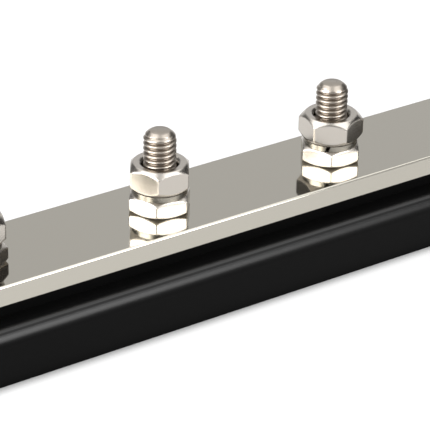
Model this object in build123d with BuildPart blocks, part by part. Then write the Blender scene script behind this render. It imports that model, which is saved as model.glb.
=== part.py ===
"""Power busbar: a polished flat bar with a row of M8 studs, on a moulded black base.

Millimetres. The origin is the centre of the base's underside, +X runs along the bar,
+Y points to the back and +Z up the studs.
"""

from math import cos, radians, sin, tan
import os

from build123d import *

# Stud row
stud_count = 4
stud_spacing = 48.0

# Bar, rolled flat with eased edges
bar_width = 26.4
bar_thickness = 5.0
bar_end_margin = 17.5
bar_edge_radius = 0.6
bar_end_chamfer = 0.4

# M8 hardware
thread_radius = 4.0
thread_clearance = 0.1
bolt_length = 30.0
bolt_head_height = 5.3
stud_projection = 18.8
stud_tip_radius = 2.8
stud_tip_length = 1.5
across_flats = 13.0
chamfer_angle = 30.0
face_circle_margin = 0.3
full_nut_chamfer_angle = 42.0
full_nut_circle_margin = 0.5
countersink_margin = 0.55
lower_nut_height = 4.0
upper_nut_height = 6.0
bar_hole_clearance = 0.5

# Split spring lock washer
washer_thickness = 1.2
washer_ring_width = 2.2
washer_gap = 0.9
washer_gap_slant = 20.0

# Moulded base
base_width = 33.0
base_height = 12.7
base_end_margin = 21.0
base_corner_radius = 8.0
base_edge_radius = 3.5
seat_rise = 4.2
seat_inset = 3.5
seat_corner_radius = 4.0
wall = 2.8
rib_thickness = 2.2
head_pocket_clearance = 0.1
head_boss_wall = 2.2

# Screw holes at the ends of the base
screw_hole_radius = 2.75
screw_head_radius = 5.5
screw_head_depth = 4.5
screw_boss_wall = 2.2

# How far each hexagon is turned about its stud, and where each washer is split, in degrees
lower_nut_turns = [30.0, -9.6, -4.5, 44.0]
upper_nut_turns = [12.0, -5.5, 21.0, 12.0]
washer_split_turns = [154.0, 66.0, -133.0, 24.0]

# Derived places
row_length = (stud_count - 1) * stud_spacing
stud_places = [index * stud_spacing - row_length / 2 for index in range(stud_count)]
bar_length = row_length + 2 * bar_end_margin
bar_bottom = base_height + seat_rise
bar_top = bar_bottom + bar_thickness
base_length = bar_length + 2 * base_end_margin
screw_place = bar_length / 2 + base_end_margin / 2
head_seat = bar_top + stud_projection - bolt_length
pocket_across_flats = across_flats + 2 * head_pocket_clearance
hexagon_corner = across_flats / 2 / cos(radians(30))


def turned_plane(place, height, turn):
    """A level plane on a stud's axis, with its x direction turned about the axis."""
    direction = (cos(radians(turn)), sin(radians(turn)), 0)
    return Plane(origin=(place, 0, height), x_dir=direction, z_dir=(0, 0, 1))


def section_plane(level):
    """The upright plane through the same axis, with x outwards and y up."""
    return Plane(origin=level.origin, x_dir=level.x_dir, z_dir=-level.y_dir)


def axis_of(level):
    """The stud's axis as a line to revolve about."""
    return Axis(level.origin, level.z_dir)


def make_base():
    """One moulding: rounded block, raised bar seat, ribbed hollow underside."""
    with BuildPart() as base:
        with BuildSketch(Plane.XY):
            RectangleRounded(base_length, base_width, base_corner_radius)
        extrude(amount=base_height)
        fillet(base.faces().sort_by(Axis.Z)[-1].edges(), base_edge_radius)

        # The bar rests on this seat, clear of the base's rounded top
        with BuildSketch(Plane.XY.offset(base_height)):
            RectangleRounded(
                bar_length - 2 * seat_inset, bar_width - 2 * seat_inset, seat_corner_radius
            )
        extrude(amount=seat_rise)

        # Hollow between the walls, the ribs and the bosses
        boss_radius = pocket_across_flats / 2 / cos(radians(30)) + head_boss_wall
        with BuildSketch(Plane.XY):
            RectangleRounded(
                base_length - 2 * wall, base_width - 2 * wall, base_corner_radius - wall
            )
            Rectangle(base_length, rib_thickness, mode=Mode.SUBTRACT)
            with GridLocations(stud_spacing, 0, stud_count + 1, 1):
                Rectangle(rib_thickness, base_width, mode=Mode.SUBTRACT)
            with GridLocations(stud_spacing, 0, stud_count, 1):
                Circle(boss_radius, mode=Mode.SUBTRACT)
            with GridLocations(2 * screw_place, 0, 2, 1):
                Circle(screw_head_radius + screw_boss_wall, mode=Mode.SUBTRACT)
        extrude(amount=head_seat, mode=Mode.SUBTRACT)

        # A pocket keeps each bolt head from turning, and its shank passes up through the seat
        with BuildSketch(Plane.XY):
            with GridLocations(stud_spacing, 0, stud_count, 1):
                RegularPolygon(pocket_across_flats / 2, 6, major_radius=False)
        extrude(amount=head_seat, mode=Mode.SUBTRACT)
        with BuildSketch(Plane.XY.offset(head_seat)):
            with GridLocations(stud_spacing, 0, stud_count, 1):
                Circle(thread_radius + bar_hole_clearance)
        extrude(amount=bar_bottom - head_seat, mode=Mode.SUBTRACT)

        # Counterbored holes for the screws that hold the base down
        with Locations((-screw_place, 0, base_height), (screw_place, 0, base_height)):
            CounterBoreHole(screw_hole_radius, screw_head_radius, screw_head_depth)
    return base.part


def make_bar():
    """Rolled flat bar with eased edges, sawn and deburred ends and a hole at each stud."""
    section = Plane(
        origin=(-bar_length / 2, 0, bar_bottom + bar_thickness / 2), x_dir=(0, 1, 0), z_dir=(1, 0, 0)
    )
    with BuildPart() as bar:
        with BuildSketch(section):
            RectangleRounded(bar_width, bar_thickness, bar_edge_radius)
        extrude(amount=bar_length)
        ends = bar.faces().filter_by(Axis.X)
        chamfer(ends.edges(), bar_end_chamfer)
        with BuildSketch(Plane.XY.offset(bar_bottom)):
            with GridLocations(stud_spacing, 0, stud_count, 1):
                Circle(thread_radius + bar_hole_clearance)
        extrude(amount=bar_thickness, mode=Mode.SUBTRACT)
    return bar.part


def make_stud(place):
    """Hexagon bolt pushed up from below, so that its shank stands as the stud."""
    level = turned_plane(place, head_seat - bolt_head_height, 0)
    face_circle = across_flats / 2 - face_circle_margin
    chamfer_rise = (hexagon_corner - face_circle) * tan(radians(chamfer_angle))
    with BuildPart() as stud:
        with BuildSketch(level):
            RegularPolygon(across_flats / 2, 6, major_radius=False)
        extrude(amount=bolt_head_height)
        with BuildSketch(section_plane(level)):
            with BuildLine():
                Polyline(
                    (0, 0),
                    (face_circle, 0),
                    (hexagon_corner, chamfer_rise),
                    (hexagon_corner, bolt_head_height),
                    (0, bolt_head_height),
                    close=True,
                )
            make_face()
        revolve(axis=axis_of(level), mode=Mode.INTERSECT)
        tip = bolt_head_height + bolt_length
        with BuildSketch(section_plane(level)):
            with BuildLine():
                Polyline(
                    (0, bolt_head_height),
                    (thread_radius, bolt_head_height),
                    (thread_radius, tip - stud_tip_length),
                    (stud_tip_radius, tip),
                    (0, tip),
                    close=True,
                )
            make_face()
        revolve(axis=axis_of(level))
    return stud.part


def make_nut(place, bottom, height, turn, circle_margin, angle):
    """Hexagon nut with both faces chamfered and the bore countersunk where the stud leaves it."""
    level = turned_plane(place, bottom, turn)
    bore = thread_radius + thread_clearance
    mouth = bore + countersink_margin
    face_circle = across_flats / 2 - circle_margin
    chamfer_rise = (hexagon_corner - face_circle) * tan(radians(angle))
    with BuildPart() as nut:
        with BuildSketch(level):
            RegularPolygon(across_flats / 2, 6, major_radius=False)
        extrude(amount=height)
        with BuildSketch(section_plane(level)):
            with BuildLine():
                Polyline(
                    (bore, 0),
                    (face_circle, 0),
                    (hexagon_corner, chamfer_rise),
                    (hexagon_corner, height - chamfer_rise),
                    (face_circle, height),
                    (mouth, height),
                    (bore, height - countersink_margin),
                    close=True,
                )
            make_face()
        revolve(axis=axis_of(level), mode=Mode.INTERSECT)
    return nut.part


def make_lock_washer(place, bottom, turn):
    """Spring washer drawn flat by the nut, with its slanting split."""
    level = turned_plane(place, bottom, turn)
    inner = thread_radius + thread_clearance
    outer = inner + washer_ring_width
    with BuildPart() as washer:
        with BuildSketch(section_plane(level)):
            with BuildLine():
                Polyline(
                    (inner, 0),
                    (outer, 0),
                    (outer, washer_thickness),
                    (inner, washer_thickness),
                    close=True,
                )
            make_face()
        revolve(axis=axis_of(level))

        # The split, seen from outside, leans by the slant angle
        outward = Plane(origin=level.origin, x_dir=level.y_dir, z_dir=level.x_dir)
        lean = washer_thickness * tan(radians(washer_gap_slant))
        with BuildSketch(outward):
            with BuildLine():
                Polyline(
                    (-washer_gap / 2 - lean / 2, 0),
                    (washer_gap / 2 - lean / 2, 0),
                    (washer_gap / 2 + lean / 2, washer_thickness),
                    (-washer_gap / 2 + lean / 2, washer_thickness),
                    close=True,
                )
            make_face()
        extrude(amount=2 * outer, mode=Mode.SUBTRACT)
    return washer.part


def write(piece, name):
    """Label a finished piece and write it to its own file."""
    piece.label = name
    export_step(piece, f"parts/{name}.step")


os.makedirs("parts", exist_ok=True)
write(make_base(), "base")
write(make_bar(), "bar")
washer_bottom = bar_top + lower_nut_height
upper_nut_bottom = washer_bottom + washer_thickness
for index, place in enumerate(stud_places):
    number = index + 1
    # Turns are given for the first studs and start again on a longer row
    lower_turn = lower_nut_turns[index % len(lower_nut_turns)]
    upper_turn = upper_nut_turns[index % len(upper_nut_turns)]
    split_turn = washer_split_turns[index % len(washer_split_turns)]
    write(make_stud(place), f"stud_{number}")
    lower_nut = make_nut(
        place, bar_top, lower_nut_height, lower_turn, face_circle_margin, chamfer_angle
    )
    upper_nut = make_nut(
        place,
        upper_nut_bottom,
        upper_nut_height,
        upper_turn,
        full_nut_circle_margin,
        full_nut_chamfer_angle,
    )
    write(lower_nut, f"lower_nut_{number}")
    write(make_lock_washer(place, washer_bottom, split_turn), f"lock_washer_{number}")
    write(upper_nut, f"upper_nut_{number}")
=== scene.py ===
"""Looks of the power busbar: polished nickel bar, bright M8 hardware and a satin black moulded base."""
import math

import bmesh
import bpy
from mathutils import Matrix, Vector


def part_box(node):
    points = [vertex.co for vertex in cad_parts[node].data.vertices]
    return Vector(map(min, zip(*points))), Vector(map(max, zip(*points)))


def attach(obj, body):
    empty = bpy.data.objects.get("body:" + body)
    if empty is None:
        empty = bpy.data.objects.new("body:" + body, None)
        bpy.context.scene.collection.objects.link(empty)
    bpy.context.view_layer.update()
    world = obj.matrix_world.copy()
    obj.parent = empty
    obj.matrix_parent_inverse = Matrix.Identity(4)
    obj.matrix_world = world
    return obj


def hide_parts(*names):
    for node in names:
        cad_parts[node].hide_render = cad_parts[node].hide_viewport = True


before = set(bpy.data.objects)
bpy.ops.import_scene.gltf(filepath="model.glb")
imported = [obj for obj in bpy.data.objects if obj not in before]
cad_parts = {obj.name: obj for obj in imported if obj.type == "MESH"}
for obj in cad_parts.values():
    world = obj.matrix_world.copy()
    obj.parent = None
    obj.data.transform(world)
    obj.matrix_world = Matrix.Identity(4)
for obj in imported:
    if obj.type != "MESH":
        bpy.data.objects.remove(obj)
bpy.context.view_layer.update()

MM = 0.001

# M8 coarse thread, rolled and plated
THREAD_PITCH = 1.25 * MM
THREAD_CREST_RADIUS = 3.7 * MM
THREAD_ROOT_RADIUS = 3.05 * MM
THREAD_TIP_RADIUS = 2.3 * MM
THREAD_TIP_LENGTH = 1.8 * MM
THREAD_COLUMNS = 64
THREAD_ROWS_PER_TURN = 12
THREAD_SEAT_DEPTH = 0.3 * MM
BOLT_HEAD_HEIGHT = 5.3 * MM
# Share of the pitch from the middle of a crest or a root to where its flank starts
CREST_HALF_WIDTH = 0.09
ROOT_HALF_WIDTH = 0.06
# Where each stud's thread starts, in degrees, so that no two look alike
THREAD_START_ANGLES = [20.0, 200.0, 95.0, 310.0]
# How deep a point lies in the thread, from 0 on a crest to 1 in a root
GROOVE_ATTRIBUTE = "groove"
SHARP_EDGE_ANGLE = 42.0
WELD_DISTANCE = 0.002 * MM

# Finishes: how much roughness is added, and how strong the resin's gloss is on the base's round edge
BAR_EDGE_DULLNESS = 0.1
BEARING_CHAMFER_DULLNESS = 0.4
RESIN_SKIN = 0.72
NUT_EDGE_RADIUS = 0.7 * MM
# Where on the base's round edge the mould's seam lies, as the height of the surface's normal
SEAM_NORMAL_HEIGHT = 0.79
SEAM_HALF_WIDTH = 0.045
SEAM_SKIN_SHARE = 0.45

# The photograph's camera, worked out from the bar's straight edges
PHOTO_WIDTH = 430
FOCAL_LENGTH_PIXELS = 2450
SENSOR_WIDTH = 36.0
CAMERA_AZIMUTH = -35.74
CAMERA_ELEVATION = 26.71
CAMERA_ROLL = 1.04
CAMERA_DISTANCE = 547.8 * MM
CAMERA_RIGHT = 12.45 * MM
CAMERA_UP = -1.63 * MM
CAMERA_STUD = "stud_2"

# Softboxes: name, azimuth and elevation in degrees, width and height in metres, and brightness,
# where 1 is a white surface
SOFTBOX_DISTANCE = 1.0
SOFTBOXES = [
    ("front_softbox", -68.5, 30.0, 0.48, 0.55, 8.2),
    ("left_softbox", 174.0, 28.0, 0.84, 0.7, 9.5),
    ("top_right_softbox", -35.7, 64.0, 1.4, 0.6, 1.5),
    ("top_left_softbox", 144.3, 64.0, 1.4, 0.6, 1.8),
]

# Studio walls, mirrored in the metal
GREY_WALL = 0.98
DARK_WALL = 0.08
AMBIENT = 0.12
# Dark parts: azimuth, elevation, the angles where the dark starts to fade and is gone, and how
# much of the wall's light it takes
DARK_PARTS = [
    (-6.0, 22.0, 25.0, 38.0, 1.0),
    (-126.0, 30.0, 14.0, 30.0, 1.0),
    (112.0, 25.0, 18.0, 38.0, 0.9),
]

# A little of its own light keeps the open floor white in the picture
FLOOR_LIFT = 0.54
CONTACT_SHADOW_WIDTH = 3.2 * MM
# The floor's size, and the part of it that the lamps reach, in metres
FLOOR_SIZE = 6.0
LIT_FLOOR_RADIUS = 0.35

STUD_NUMBERS = [1, 2, 3, 4]


def linear(hex_colour):
    """An sRGB hex colour as linear red, green, blue and alpha."""
    channels = [int(hex_colour[place:place + 2], 16) / 255 for place in (1, 3, 5)]
    decoded = [c / 12.92 if c <= 0.04045 else ((c + 0.055) / 1.055) ** 2.4 for c in channels]
    return (*decoded, 1.0)


def add(tree, kind, inputs=None, **settings):
    """Add a node with its settings, and give its inputs a value or a link each."""
    node = tree.nodes.new(kind)
    for name, value in settings.items():
        setattr(node, name, value)
    for name, value in (inputs or {}).items():
        if isinstance(value, bpy.types.NodeSocket):
            tree.links.new(value, node.inputs[name])
        else:
            node.inputs[name].default_value = value
    return node


def new_material(name):
    """An empty node material and its tree."""
    material = bpy.data.materials.new(name)
    material.use_nodes = True
    material.node_tree.nodes.clear()
    return material, material.node_tree


def finish_material(tree, shader):
    """Send the shader to the surface."""
    add(tree, "ShaderNodeOutputMaterial", {"Surface": shader.outputs[0]})


def pattern_place(tree, spacing_mm):
    """Object coordinates divided by a real spacing in millimetres along x, y and z."""
    coordinates = add(tree, "ShaderNodeTexCoord")
    scale = [1 / (spacing * MM) for spacing in spacing_mm]
    return add(
        tree, "ShaderNodeMapping", {"Vector": coordinates.outputs["Object"], "Scale": scale}
    ).outputs["Vector"]


def make_bar_nickel():
    """Nickel plate on rolled bar, buffed along its length: a mirror with faint long lines."""
    material, tree = new_material("buffed_nickel_plate")
    # Buffing lines are a few microns wide, drawn 0.3 mm wide so that they show
    lines = add(tree, "ShaderNodeTexNoise", {
        "Vector": pattern_place(tree, (18.0, 0.3, 0.3)), "Scale": 1.0, "Detail": 3.0,
    })
    haze = add(tree, "ShaderNodeTexNoise", {
        "Vector": pattern_place(tree, (30.0, 12.0, 12.0)), "Scale": 1.0, "Detail": 2.0,
    })
    blend = add(tree, "ShaderNodeMath", {
        0: lines.outputs["Fac"], 1: haze.outputs["Fac"],
    }, operation="ADD")
    rough = add(tree, "ShaderNodeMapRange", {
        "Value": blend.outputs[0], "From Min": 0.6, "From Max": 1.4, "To Min": 0.05, "To Max": 0.1,
    })
    # The buffing wheel misses the strip where each edge rolls over into the wide faces
    facing = add(tree, "ShaderNodeTexCoord").outputs["Normal"]
    upward = add(tree, "ShaderNodeMath", {
        0: add(tree, "ShaderNodeSeparateXYZ", {0: facing}).outputs["Z"],
    }, operation="ABSOLUTE").outputs[0]
    off_side = add(tree, "ShaderNodeMapRange", {"Value": upward, "From Min": 0.5, "From Max": 0.8})
    off_face = add(tree, "ShaderNodeMapRange", {
        "Value": upward, "From Min": 0.98, "From Max": 0.999, "To Min": 1.0, "To Max": 0.0,
    })
    edge = add(tree, "ShaderNodeMath", {
        0: off_side.outputs[0], 1: off_face.outputs[0],
    }, operation="MULTIPLY").outputs[0]
    dullness_and_root_shade = add(tree, "ShaderNodeMath", {
        0: edge, 1: BAR_EDGE_DULLNESS, 2: rough.outputs[0],
    }, operation="MULTIPLY_ADD")
    bump = add(tree, "ShaderNodeBump", {
        "Height": lines.outputs["Fac"], "Strength": 0.05, "Distance": 0.02 * MM,
    })
    shader = add(tree, "ShaderNodeBsdfPrincipled", {
        "Base Color": linear("#B6B2A8"), "Metallic": 1.0,
        "Roughness": dullness_and_root_shade.outputs[0], "Normal": bump.outputs[0],
    })
    finish_material(tree, shader)
    return material


def make_nut_nickel():
    """Bright nickel-plated steel nut: smooth cold-formed faces, a little uneven."""
    material, tree = new_material("nut_bright_nickel")
    # The forming die leaves waves some 5 mm long, and the plating a grain drawn coarser, 0.4 mm wide
    waves = add(tree, "ShaderNodeTexNoise", {
        "Vector": pattern_place(tree, (5.0, 5.0, 5.0)), "Scale": 1.0, "Detail": 2.0,
    })
    grain = add(tree, "ShaderNodeTexNoise", {
        "Vector": pattern_place(tree, (0.4, 0.4, 0.4)), "Scale": 1.0, "Detail": 3.0,
    })
    rough = add(tree, "ShaderNodeMapRange", {
        "Value": grain.outputs["Fac"], "From Min": 0.3, "From Max": 0.7, "To Min": 0.19, "To Max": 0.26,
    })
    # The chamfer on the side that bears on the washer or the bar is turned, and left duller
    facing = add(tree, "ShaderNodeTexCoord").outputs["Normal"]
    upward = add(tree, "ShaderNodeSeparateXYZ", {0: facing}).outputs["Z"]
    turned = add(tree, "ShaderNodeMapRange", {
        "Value": upward, "From Min": -0.3, "From Max": -0.6, "To Max": BEARING_CHAMFER_DULLNESS,
    })
    dullness_and_root_shade = add(tree, "ShaderNodeMath", {0: rough.outputs[0], 1: turned.outputs[0]}, operation="ADD")
    # The tumbled corners of a formed nut are rounded a little, which draws a thin line down each
    soft_edge = add(tree, "ShaderNodeBevel", {"Radius": NUT_EDGE_RADIUS}, samples=6)
    bump = add(tree, "ShaderNodeBump", {
        "Height": waves.outputs["Fac"], "Strength": 0.06, "Distance": 0.08 * MM,
        "Normal": soft_edge.outputs[0],
    })
    shader = add(tree, "ShaderNodeBsdfPrincipled", {
        "Base Color": linear("#BFB9B1"), "Metallic": 1.0,
        "Roughness": dullness_and_root_shade.outputs[0], "Normal": bump.outputs[0],
    })
    finish_material(tree, shader)
    return material


def make_washer_steel():
    """Spring steel wire, bright plated: duller than the nuts, with drawn lines round the ring."""
    material, tree = new_material("washer_plated_spring_steel")
    # Lines from the drawing die are finer than this, drawn 0.2 mm high so that they show
    grain = add(tree, "ShaderNodeTexNoise", {
        "Vector": pattern_place(tree, (1.5, 1.5, 0.2)), "Scale": 1.0, "Detail": 4.0,
    })
    rough = add(tree, "ShaderNodeMapRange", {
        "Value": grain.outputs["Fac"], "From Min": 0.3, "From Max": 0.7, "To Min": 0.24, "To Max": 0.34,
    })
    bump = add(tree, "ShaderNodeBump", {
        "Height": grain.outputs["Fac"], "Strength": 0.2, "Distance": 0.02 * MM,
    })
    shader = add(tree, "ShaderNodeBsdfPrincipled", {
        "Base Color": linear("#9C978D"), "Metallic": 1.0,
        "Roughness": rough.outputs[0], "Normal": bump.outputs[0],
    })
    finish_material(tree, shader)
    return material


def make_thread_steel():
    """Rolled and plated thread: bright crests, and roots coloured darker and browner as painted shade in
    the grooves.
    """
    material, tree = new_material("stud_rolled_thread")
    groove = add(tree, "ShaderNodeAttribute", attribute_name=GROOVE_ATTRIBUTE)
    # Painted shade: the colour turns darker and browner from the crests down into the roots
    dullness_and_root_shade = add(tree, "ShaderNodeMapRange", {
        "Value": groove.outputs["Fac"], "From Min": 0.15, "From Max": 0.75,
    }, interpolation_type="SMOOTHSTEP")
    colour = add(tree, "ShaderNodeMix", {
        "Factor": dullness_and_root_shade.outputs[0], "A": linear("#A8A096"), "B": linear("#83786D"),
    }, data_type="RGBA")
    # The plating's grain is finer than this, drawn 0.5 mm wide so that it shows
    grain = add(tree, "ShaderNodeTexNoise", {
        "Vector": pattern_place(tree, (0.5, 0.5, 0.25)), "Scale": 1.0, "Detail": 4.0,
    })
    rough = add(tree, "ShaderNodeMapRange", {
        "Value": grain.outputs["Fac"], "From Min": 0.3, "From Max": 0.7, "To Min": 0.27, "To Max": 0.36,
    })
    bump = add(tree, "ShaderNodeBump", {
        "Height": grain.outputs["Fac"], "Strength": 0.25, "Distance": 0.02 * MM,
    })
    shader = add(tree, "ShaderNodeBsdfPrincipled", {
        "Base Color": colour.outputs[2], "Metallic": 1.0,
        "Roughness": rough.outputs[0], "Normal": bump.outputs[0],
    })
    finish_material(tree, shader)
    return material


def make_base_nylon():
    """Black glass-filled nylon: walls dulled by the mould's spark texture, round edge with a resin skin."""
    material, tree = new_material("base_black_nylon")
    # The mould's grain is about 0.05 mm, drawn 0.25 mm wide so that it shows
    grain = add(tree, "ShaderNodeTexNoise", {
        "Vector": pattern_place(tree, (0.25, 0.25, 0.25)), "Scale": 1.0, "Detail": 4.0,
    })
    flow = add(tree, "ShaderNodeTexNoise", {
        "Vector": pattern_place(tree, (40.0, 14.0, 14.0)), "Scale": 1.0, "Detail": 2.0,
    })
    # The round edge is where the surface faces neither level nor straight up
    facing = add(tree, "ShaderNodeTexCoord").outputs["Normal"]
    upward = add(tree, "ShaderNodeSeparateXYZ", {0: facing}).outputs["Z"]
    off_wall = add(tree, "ShaderNodeMapRange", {
        "Value": upward, "From Min": 0.12, "From Max": 0.95,
    }, interpolation_type="SMOOTHSTEP")
    off_top = add(tree, "ShaderNodeMapRange", {
        "Value": upward, "From Min": 0.96, "From Max": 1.0, "To Min": 1.0, "To Max": 0.0,
    }, interpolation_type="SMOOTHSTEP")
    round_edge = add(tree, "ShaderNodeMath", {
        0: off_wall.outputs[0], 1: off_top.outputs[0],
    }, operation="MULTIPLY")
    # The two mould halves meet in a thin dull line along the round edge
    seam = add(tree, "ShaderNodeMath", {
        0: upward, 1: SEAM_NORMAL_HEIGHT, 2: SEAM_HALF_WIDTH,
    }, operation="COMPARE")
    off_seam = add(tree, "ShaderNodeMapRange", {
        "Value": seam.outputs[0], "To Min": 1.0, "To Max": SEAM_SKIN_SHARE,
    })
    skin = add(tree, "ShaderNodeMath", {
        0: round_edge.outputs[0], 1: off_seam.outputs[0],
    }, operation="MULTIPLY")
    resin = add(tree, "ShaderNodeMath", {0: skin.outputs[0], 1: RESIN_SKIN}, operation="MULTIPLY")
    rough = add(tree, "ShaderNodeMapRange", {
        "Value": flow.outputs["Fac"], "From Min": 0.3, "From Max": 0.7, "To Min": 0.3, "To Max": 0.36,
    })
    bump = add(tree, "ShaderNodeBump", {
        "Height": grain.outputs["Fac"], "Strength": 0.15, "Distance": 0.02 * MM,
    })
    shader = add(tree, "ShaderNodeBsdfPrincipled", {
        "Base Color": linear("#0D0D0D"), "Roughness": rough.outputs[0],
        "IOR": 1.5, "Specular IOR Level": 0.05, "Normal": bump.outputs[0],
        "Coat Weight": resin.outputs[0], "Coat Roughness": 0.3, "Coat IOR": 1.5,
    })
    finish_material(tree, shader)
    return material


def seen_directly(tree):
    """1 for what the camera sees, straight or through a mirror or glass, and 0 for the light it gives."""
    path = add(tree, "ShaderNodeLightPath")
    mirrored = add(tree, "ShaderNodeMath", {
        0: path.outputs["Is Glossy Ray"], 1: path.outputs["Is Transmission Ray"],
    }, operation="MAXIMUM")
    return add(tree, "ShaderNodeMath", {
        0: path.outputs["Is Camera Ray"], 1: mirrored.outputs[0],
    }, operation="MAXIMUM").outputs[0]


def make_floor_paper():
    """White paper sweep: it keeps the soft shadow, and is plain white to the camera elsewhere."""
    material, tree = new_material("floor_white_paper")
    paper = add(tree, "ShaderNodeBsdfDiffuse", {"Color": linear("#A4A4A4")})
    # The lift dies away in the narrow strip that the base overshadows
    open_air = add(tree, "ShaderNodeAmbientOcclusion", {"Distance": CONTACT_SHADOW_WIDTH}, samples=12)
    clear = add(tree, "ShaderNodeMapRange", {
        "Value": open_air.outputs["AO"], "From Min": 0.5, "From Max": 1.0,
    })
    # It grows where the lamps no longer reach, so that the paper is white out to its edge
    away = add(tree, "ShaderNodeVectorMath", {
        0: add(tree, "ShaderNodeTexCoord").outputs["Object"],
    }, operation="LENGTH")
    glow_level = add(tree, "ShaderNodeMapRange", {
        "Value": away.outputs["Value"], "From Min": LIT_FLOOR_RADIUS, "From Max": 3 * LIT_FLOOR_RADIUS,
        "To Min": FLOOR_LIFT, "To Max": 1.0,
    })
    lift = add(tree, "ShaderNodeMath", {
        0: seen_directly(tree), 1: clear.outputs[0],
    }, operation="MULTIPLY")
    lift = add(tree, "ShaderNodeMath", {
        0: lift.outputs[0], 1: glow_level.outputs[0],
    }, operation="MULTIPLY")
    glow = add(tree, "ShaderNodeEmission", {"Strength": lift.outputs[0]})
    both = add(tree, "ShaderNodeAddShader", {0: paper.outputs[0], 1: glow.outputs[0]})
    # Clear from below, so that the part's underside can be looked at
    from_below = add(tree, "ShaderNodeNewGeometry").outputs["Backfacing"]
    sheet = add(tree, "ShaderNodeMixShader", {
        0: from_below, 1: both.outputs[0], 2: add(tree, "ShaderNodeBsdfTransparent").outputs[0],
    })
    finish_material(tree, sheet)
    return material


def interface(tree, name, kind, value=None, direction="INPUT"):
    """A named socket on a geometry tree's interface."""
    socket = tree.interface.new_socket(name=name, in_out=direction, socket_type=kind)
    if value is not None:
        socket.default_value = value
    return socket.identifier


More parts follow.
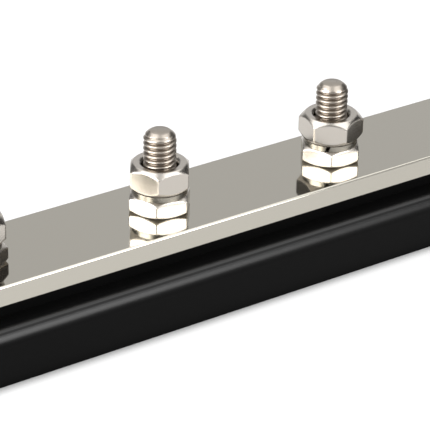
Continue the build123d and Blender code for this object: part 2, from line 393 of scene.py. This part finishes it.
def make_thread_tree():
    """Geometry tree: a helical thread with a rounded tip, joined to the bolt head it is given.

    A flat grid is wound round the stud's axis. Each of its rows climbs one pitch in a turn, so a
    row is a crest, a flank or a root all the way up, and meets the row one turn on at the seam.
    """
    tree = bpy.data.node_groups.new("wound_thread", "GeometryNodeTree")
    names = {}
    names["Head"] = interface(tree, "Head", "NodeSocketGeometry")
    for name, value in (
        ("Pitch", THREAD_PITCH),
        ("Crest Radius", THREAD_CREST_RADIUS),
        ("Root Radius", THREAD_ROOT_RADIUS),
        ("Tip Radius", THREAD_TIP_RADIUS),
        ("Tip Length", THREAD_TIP_LENGTH),
        ("Bottom", 0.0),
        ("Top", 30 * MM),
        ("Start Angle", 0.0),
    ):
        names[name] = interface(tree, name, "NodeSocketFloat", value)
    names["Columns"] = interface(tree, "Columns", "NodeSocketInt", THREAD_COLUMNS)
    names["Rows Per Turn"] = interface(tree, "Rows Per Turn", "NodeSocketInt", THREAD_ROWS_PER_TURN)
    names["Axis Place"] = interface(tree, "Axis Place", "NodeSocketVector", (0.0, 0.0, 0.0))
    names["Finish"] = interface(tree, "Finish", "NodeSocketMaterial")
    interface(tree, "Stud", "NodeSocketGeometry", direction="OUTPUT")
    given = add(tree, "NodeGroupInput").outputs

    def math_node(operation, first, second=0.0, third=0.0):
        inputs = {0: first, 1: second}
        if operation == "MULTIPLY_ADD":
            inputs[2] = third
        return add(tree, "ShaderNodeMath", inputs, operation=operation).outputs[0]

    # Turns wound, with one spare at each end that the limits below flatten
    length = math_node("SUBTRACT", given["Top"], given["Bottom"])
    turns = math_node("CEIL", math_node("ADD", math_node("DIVIDE", length, given["Pitch"]), 1.0))
    rows = math_node("MULTIPLY_ADD", turns, given["Rows Per Turn"], 1.0)
    columns = math_node("ADD", given["Columns"], 1.0)
    grid = add(tree, "GeometryNodeMeshGrid", {
        "Size X": 1.0, "Size Y": 1.0, "Vertices X": columns, "Vertices Y": rows,
    })
    place = add(tree, "ShaderNodeSeparateXYZ", {0: add(tree, "GeometryNodeInputPosition").outputs[0]})
    around = math_node("ADD", place.outputs["X"], 0.5)
    wound = math_node("MULTIPLY", math_node("ADD", place.outputs["Y"], 0.5), turns)

    # Height climbs with the angle, held between the stud's two ends
    climb = math_node("SUBTRACT", math_node("ADD", wound, around), 1.0)
    height = math_node("MULTIPLY_ADD", climb, given["Pitch"], given["Bottom"])
    height = math_node("MINIMUM", math_node("MAXIMUM", height, given["Bottom"]), given["Top"])

    # Radius follows the row's place between crest and root, the rounded tip and the coned foot
    from_crest = math_node("PINGPONG", wound, 0.5)
    profile = add(tree, "ShaderNodeMapRange", {
        "Value": from_crest, "From Min": CREST_HALF_WIDTH, "From Max": 0.5 - ROOT_HALF_WIDTH,
        "To Min": given["Crest Radius"], "To Max": given["Root Radius"],
    }).outputs[0]
    below_top = math_node("SUBTRACT", given["Top"], height)
    tip_share = math_node("MINIMUM", math_node("DIVIDE", below_top, given["Tip Length"]), 1.0)
    to_shoulder = math_node("SUBTRACT", 1.0, tip_share)
    bulge = math_node("SUBTRACT", 1.0, math_node("MULTIPLY", to_shoulder, to_shoulder))
    tip_widening = math_node("SUBTRACT", given["Crest Radius"], given["Tip Radius"])
    tip_round = math_node("MULTIPLY_ADD", bulge, tip_widening, given["Tip Radius"])
    foot_cone = math_node("ADD", math_node("SUBTRACT", height, given["Bottom"]), given["Root Radius"])
    radius = math_node("MINIMUM", math_node("MINIMUM", profile, tip_round), foot_cone)
    full_radius = math_node("MINIMUM", given["Crest Radius"], tip_round)
    depth = math_node("SUBTRACT", given["Crest Radius"], given["Root Radius"])
    groove = math_node("DIVIDE", math_node("SUBTRACT", full_radius, radius), depth)
    marked = add(tree, "GeometryNodeStoreNamedAttribute", {
        "Geometry": grid.outputs["Mesh"], "Name": GROOVE_ATTRIBUTE, "Value": groove,
    }, data_type="FLOAT", domain="POINT")

    angle = math_node("MULTIPLY_ADD", around, 2 * math.pi, given["Start Angle"])
    point = add(tree, "ShaderNodeCombineXYZ", {
        "X": math_node("MULTIPLY", radius, math_node("COSINE", angle)),
        "Y": math_node("MULTIPLY", radius, math_node("SINE", angle)),
        "Z": height,
    })
    placed = add(tree, "ShaderNodeVectorMath", {
        0: point.outputs[0], 1: given["Axis Place"],
    }, operation="ADD")
    wall = add(tree, "GeometryNodeSetPosition", {
        "Geometry": marked.outputs[0], "Position": placed.outputs[0],
    })

    def end_disc(disc_radius, disc_height):
        """A flat end whose rim has the wall's own points."""
        disc = add(tree, "GeometryNodeMeshCircle", {
            "Vertices": given["Columns"], "Radius": disc_radius,
        }, fill_type="NGON")
        lift = add(tree, "ShaderNodeCombineXYZ", {"Z": disc_height})
        centre = add(tree, "ShaderNodeVectorMath", {
            0: lift.outputs[0], 1: given["Axis Place"],
        }, operation="ADD")
        turn = add(tree, "ShaderNodeCombineXYZ", {"Z": given["Start Angle"]})
        return add(tree, "GeometryNodeTransform", {
            "Geometry": disc.outputs[0], "Translation": centre.outputs[0], "Rotation": turn.outputs[0],
        }).outputs[0]

    joined = add(tree, "GeometryNodeJoinGeometry")
    foot = end_disc(given["Root Radius"], given["Bottom"])
    foot = add(tree, "GeometryNodeFlipFaces", {"Mesh": foot}).outputs[0]
    for part in (wall.outputs[0], end_disc(given["Tip Radius"], given["Top"]), foot):
        tree.links.new(part, joined.inputs[0])
    merged = add(tree, "GeometryNodeMergeByDistance", {
        "Geometry": joined.outputs[0], "Distance": WELD_DISTANCE,
    })
    whole = add(tree, "GeometryNodeJoinGeometry")
    tree.links.new(merged.outputs[0], whole.inputs[0])
    tree.links.new(given["Head"], whole.inputs[0])
    smooth = add(tree, "GeometryNodeSetShadeSmooth", {"Geometry": whole.outputs[0]})
    real = add(tree, "GeometryNodeRealizeInstances", {"Geometry": smooth.outputs[0]})
    painted = add(tree, "GeometryNodeSetMaterial", {
        "Geometry": real.outputs[0], "Material": given["Finish"],
    })
    add(tree, "NodeGroupOutput", {"Stud": painted.outputs[0]})
    return tree, names


def bolt_head_mesh(node, seat):
    """The CAD bolt's hexagon head alone, cut off just under its seat and closed."""
    mesh = bpy.data.meshes.new(f"{node}_head")
    shape = bmesh.new()
    shape.from_mesh(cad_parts[node].data)
    bmesh.ops.remove_doubles(shape, verts=shape.verts, dist=WELD_DISTANCE)
    shank = [vert for vert in shape.verts if vert.co.z > seat + THREAD_SEAT_DEPTH]
    bmesh.ops.delete(shape, geom=shank, context="VERTS")
    rim = [edge for edge in shape.edges if edge.is_boundary]
    bmesh.ops.holes_fill(shape, edges=rim)
    bmesh.ops.recalc_face_normals(shape, faces=shape.faces)
    shape.to_mesh(mesh)
    shape.free()
    return mesh


def make_threaded_stud(number, tree, names, finish):
    """One bolt with its real thread, in place of the plain CAD one."""
    node = f"stud_{number}"
    low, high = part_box(node)
    seat = low[2] + BOLT_HEAD_HEIGHT
    maker = bpy.data.objects.new(f"{node}_maker", bolt_head_mesh(node, seat))
    bpy.context.scene.collection.objects.link(maker)
    modifier = maker.modifiers.new("thread", "NODES")
    modifier.node_group = tree
    values = {
        "Bottom": seat - THREAD_SEAT_DEPTH,
        "Top": high[2],
        "Start Angle": math.radians(THREAD_START_ANGLES[number - 1]),
        "Axis Place": ((low[0] + high[0]) / 2, (low[1] + high[1]) / 2, 0.0),
        "Finish": finish,
    }
    for name, value in values.items():
        modifier[names[name]] = value
    evaluated = maker.evaluated_get(bpy.context.evaluated_depsgraph_get())
    mesh = bpy.data.meshes.new_from_object(evaluated)
    mesh.name = f"threaded_{node}"
    mesh.set_sharp_from_angle(angle=math.radians(SHARP_EDGE_ANGLE))
    bpy.data.objects.remove(maker)
    stud = bpy.data.objects.new(f"threaded_{node}", mesh)
    bpy.context.scene.collection.objects.link(stud)
    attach(stud, "root")
    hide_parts(node)
    return stud


def dress_node(node, material):
    """Give a CAD node's own mesh its finish."""
    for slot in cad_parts[node].material_slots:
        slot.material = material


def make_camera():
    """The photograph's camera: long lens, from the front left, a little rolled."""
    azimuth = math.radians(CAMERA_AZIMUTH)
    elevation = math.radians(CAMERA_ELEVATION)
    roll = math.radians(CAMERA_ROLL)
    back = Vector((
        math.sin(azimuth) * math.cos(elevation),
        -math.cos(azimuth) * math.cos(elevation),
        math.sin(elevation),
    ))
    level_right = Vector((math.cos(azimuth), math.sin(azimuth), 0.0))
    level_up = level_right.cross(-back)
    right = level_right * math.cos(roll) + level_up * math.sin(roll)
    up = level_up * math.cos(roll) - level_right * math.sin(roll)
    low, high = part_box(CAMERA_STUD)
    aim = Vector(((low[0] + high[0]) / 2, (low[1] + high[1]) / 2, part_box("bar")[1][2]))
    place = aim + back * CAMERA_DISTANCE + level_right * CAMERA_RIGHT + level_up * CAMERA_UP
    lens = bpy.data.cameras.new("photo_camera")
    lens.sensor_width = SENSOR_WIDTH
    lens.lens = FOCAL_LENGTH_PIXELS / PHOTO_WIDTH * SENSOR_WIDTH
    lens.clip_start = 10 * MM
    camera = bpy.data.objects.new("photo_camera", lens)
    turned = Matrix((right, up, back)).transposed().to_4x4()
    camera.matrix_world = Matrix.Translation(place) @ turned
    bpy.context.scene.collection.objects.link(camera)
    bpy.context.scene.camera = camera


def make_softbox(name, azimuth, elevation, width, height, brightness):
    """A soft lamp that faces the bar, placed by its direction, seen in the metal as a bright panel."""
    lamp = bpy.data.lights.new(name, "AREA")
    lamp.shape = "RECTANGLE"
    lamp.size = width
    lamp.size_y = height
    # An area lamp's brightness is its power over its area and pi
    lamp.energy = brightness * math.pi * width * height
    box = bpy.data.objects.new(name, lamp)
    around = math.radians(azimuth)
    above = math.radians(elevation)
    direction = Vector((
        math.cos(around) * math.cos(above), math.sin(around) * math.cos(above), math.sin(above)
    ))
    box.location = direction * SOFTBOX_DISTANCE
    box.rotation_euler = direction.to_track_quat("Z", "Y").to_euler()
    box.visible_camera = False
    bpy.context.scene.collection.objects.link(box)


def make_world():
    """Grey studio walls with dark parts, white where the camera looks past the floor."""
    world = bpy.data.worlds.new("studio")
    world.use_nodes = True
    tree = world.node_tree
    tree.nodes.clear()
    path = add(tree, "ShaderNodeLightPath")
    direction = add(tree, "ShaderNodeTexCoord").outputs["Generated"]

    def dark_part(azimuth, elevation, inner, outer, depth):
        """Its depth inside a cone about a direction, fading to nothing at the outer angle."""
        around = math.radians(azimuth)
        above = math.radians(elevation)
        towards = add(tree, "ShaderNodeVectorMath", {
            0: direction,
            1: (math.cos(around) * math.cos(above), math.sin(around) * math.cos(above), math.sin(above)),
        }, operation="DOT_PRODUCT")
        inside = add(tree, "ShaderNodeMapRange", {
            "Value": towards.outputs["Value"],
            "From Min": math.cos(math.radians(outer)), "From Max": math.cos(math.radians(inner)),
        }, interpolation_type="SMOOTHSTEP").outputs[0]
        return add(tree, "ShaderNodeMath", {0: inside, 1: depth}, operation="MULTIPLY").outputs[0]

    # They stand on the right, behind the camera and at the back left
    shade = dark_part(*DARK_PARTS[0])
    for part in DARK_PARTS[1:]:
        shade = add(tree, "ShaderNodeMath", {0: shade, 1: dark_part(*part)}, operation="MAXIMUM").outputs[0]
    wall = add(tree, "ShaderNodeMapRange", {
        "Value": shade, "To Min": GREY_WALL, "To Max": DARK_WALL,
    })
    seen = add(tree, "ShaderNodeMix", {
        "Factor": path.outputs["Is Glossy Ray"], "A": AMBIENT, "B": wall.outputs[0],
    })
    white = add(tree, "ShaderNodeMath", {
        0: path.outputs["Is Camera Ray"], 1: path.outputs["Is Transmission Ray"],
    }, operation="MAXIMUM")
    strength = add(tree, "ShaderNodeMix", {
        "Factor": white.outputs[0], "A": seen.outputs[0], "B": 1.0,
    })
    back = add(tree, "ShaderNodeBackground", {"Strength": strength.outputs[0]})
    add(tree, "ShaderNodeOutputWorld", {"Surface": back.outputs[0]})
    bpy.context.scene.world = world


def make_floor():
    """A plain white floor under the base."""
    bpy.ops.mesh.primitive_plane_add(size=FLOOR_SIZE)
    floor = bpy.context.object
    floor.name = "floor"
    floor.data.materials.append(make_floor_paper())


thread_tree, thread_inputs = make_thread_tree()
thread_steel = make_thread_steel()
nut_nickel = make_nut_nickel()
washer_steel = make_washer_steel()
for stud_number in STUD_NUMBERS:
    make_threaded_stud(stud_number, thread_tree, thread_inputs, thread_steel)
    dress_node(f"lower_nut_{stud_number}", nut_nickel)
    dress_node(f"upper_nut_{stud_number}", nut_nickel)
    dress_node(f"lock_washer_{stud_number}", washer_steel)
dress_node("bar", make_bar_nickel())
dress_node("base", make_base_nylon())

make_camera()
make_world()
make_floor()
for softbox in SOFTBOXES:
    make_softbox(*softbox)
bpy.context.scene.view_settings.view_transform = "Standard"
